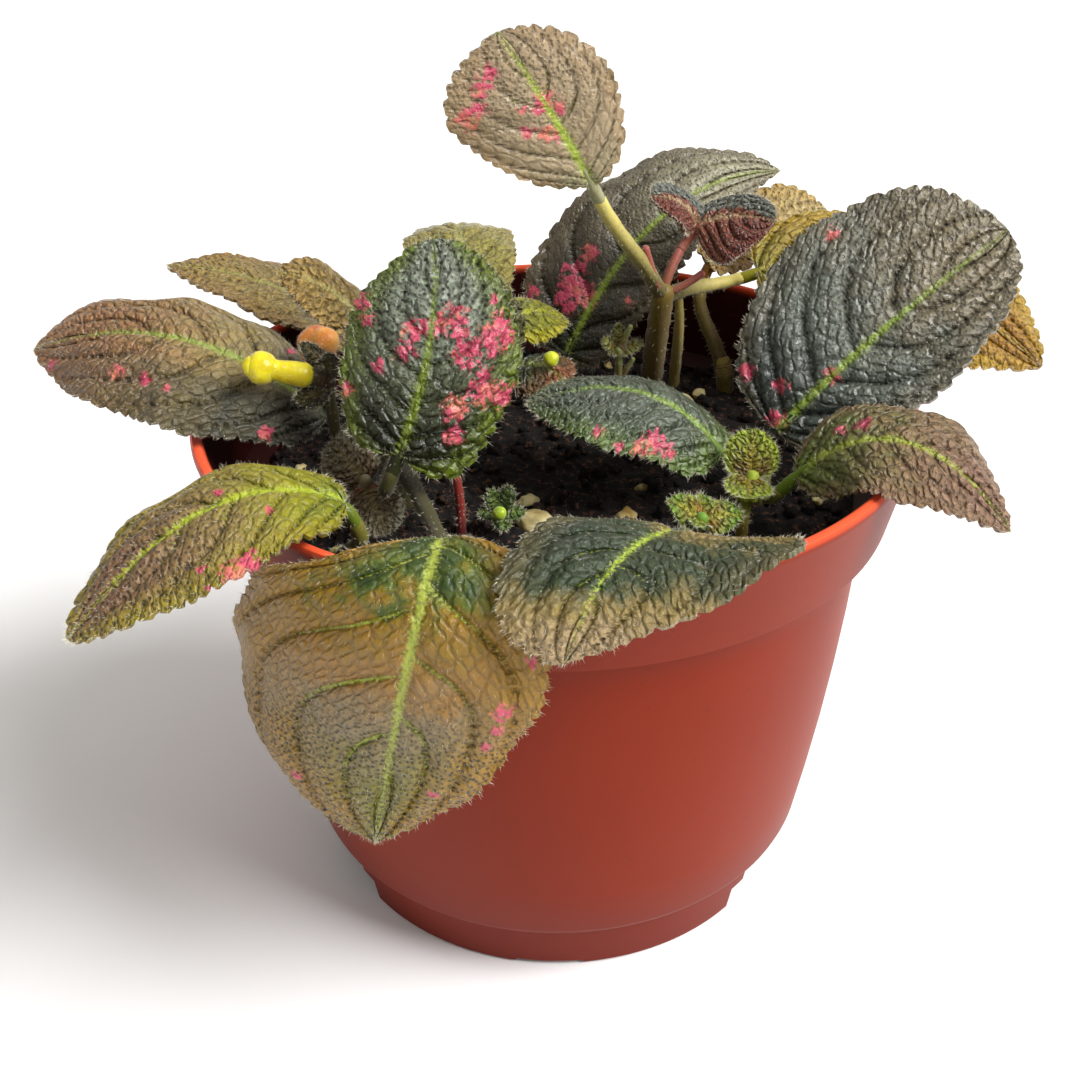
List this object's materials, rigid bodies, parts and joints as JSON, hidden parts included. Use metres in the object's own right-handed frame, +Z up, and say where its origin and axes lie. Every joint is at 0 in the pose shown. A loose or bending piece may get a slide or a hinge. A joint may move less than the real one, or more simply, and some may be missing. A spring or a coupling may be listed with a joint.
{
  "type": "potted flame violet",
  "caption": "Bushy house plant with quilted, crenate, bronze-green leaves splashed with pink, in a round terracotta-coloured plastic pot filled with soil.",
  "frame": {"origin": "centre of the part's outline seen from above, within a millimetre of the pot's axis, on the surface that the feet stand on", "axes": "+Z up along the pot's axis, -Y to the front of the plant, +X to its right"},
  "size_m": [0.1543, 0.1261, 0.1304],
  "materials": {
    "bud_lime": "satin",
    "bud_orange": "satin",
    "bud_star": "satin",
    "bud_star_core": "satin",
    "bud_yellow": "satin",
    "calyx_yellow": "satin",
    "leaf_centre": "satin",
    "leaf_centre_back": "satin",
    "leaf_curled": "satin",
    "leaf_far_rear": "satin",
    "leaf_front": "satin",
    "leaf_front_right": "satin",
    "leaf_left_long": "satin",
    "leaf_left_low": "satin",
    "leaf_left_small": "satin",
    "leaf_middle": "satin",
    "leaf_rear_large": "satin",
    "leaf_rear_left": "satin",
    "leaf_rear_olive": "satin",
    "leaf_right_large": "satin",
    "leaf_right_low": "satin",
    "leaf_right_rear": "satin",
    "leaf_shaded": "satin",
    "leaf_top": "satin",
    "pot": "matte",
    "rosette_front": "satin",
    "shoot_tip": "satin",
    "soil": "matte",
    "sprout": "satin",
    "stalk_red": "satin",
    "stem_front": "satin",
    "stem_left": "satin",
    "stem_left_low": "satin",
    "stem_rear": "satin",
    "stem_rear_left": "satin",
    "stem_rear_right": "satin",
    "stem_right": "satin",
    "stem_second": "satin",
    "stem_tall": "satin",
    "young_leaf_right": "satin",
    "young_leaves_left": "satin"
  },
  "bodies": {
    "root": {"bud_lime": "bud_lime", "bud_orange": "bud_orange", "bud_star": "bud_star", "bud_star_core": "bud_star_core", "bud_yellow": "bud_yellow", "calyx_yellow": "calyx_yellow", "leaf_centre": "leaf_centre", "leaf_centre_back": "leaf_centre_back", "leaf_curled": "leaf_curled", "leaf_far_rear": "leaf_far_rear", "leaf_front": "leaf_front", "leaf_front_right": "leaf_front_right", "leaf_left_long": "leaf_left_long", "leaf_left_low": "leaf_left_low", "leaf_left_small": "leaf_left_small", "leaf_middle": "leaf_middle", "leaf_rear_large": "leaf_rear_large", "leaf_rear_left": "leaf_rear_left", "leaf_rear_olive": "leaf_rear_olive", "leaf_right_large": "leaf_right_large", "leaf_right_low": "leaf_right_low", "leaf_right_rear": "leaf_right_rear", "leaf_shaded": "leaf_shaded", "leaf_top": "leaf_top", "pot": "pot", "rosette_front": "rosette_front", "shoot_tip": "shoot_tip", "soil": "soil", "sprout": "sprout", "stalk_red": "stalk_red", "stem_front": "stem_front", "stem_left": "stem_left", "stem_left_low": "stem_left_low", "stem_rear": "stem_rear", "stem_rear_left": "stem_rear_left", "stem_rear_right": "stem_rear_right", "stem_right": "stem_right", "stem_second": "stem_second", "stem_tall": "stem_tall", "young_leaf_right": "young_leaf_right", "young_leaves_left": "young_leaves_left"}
  },
  "joints": []
}
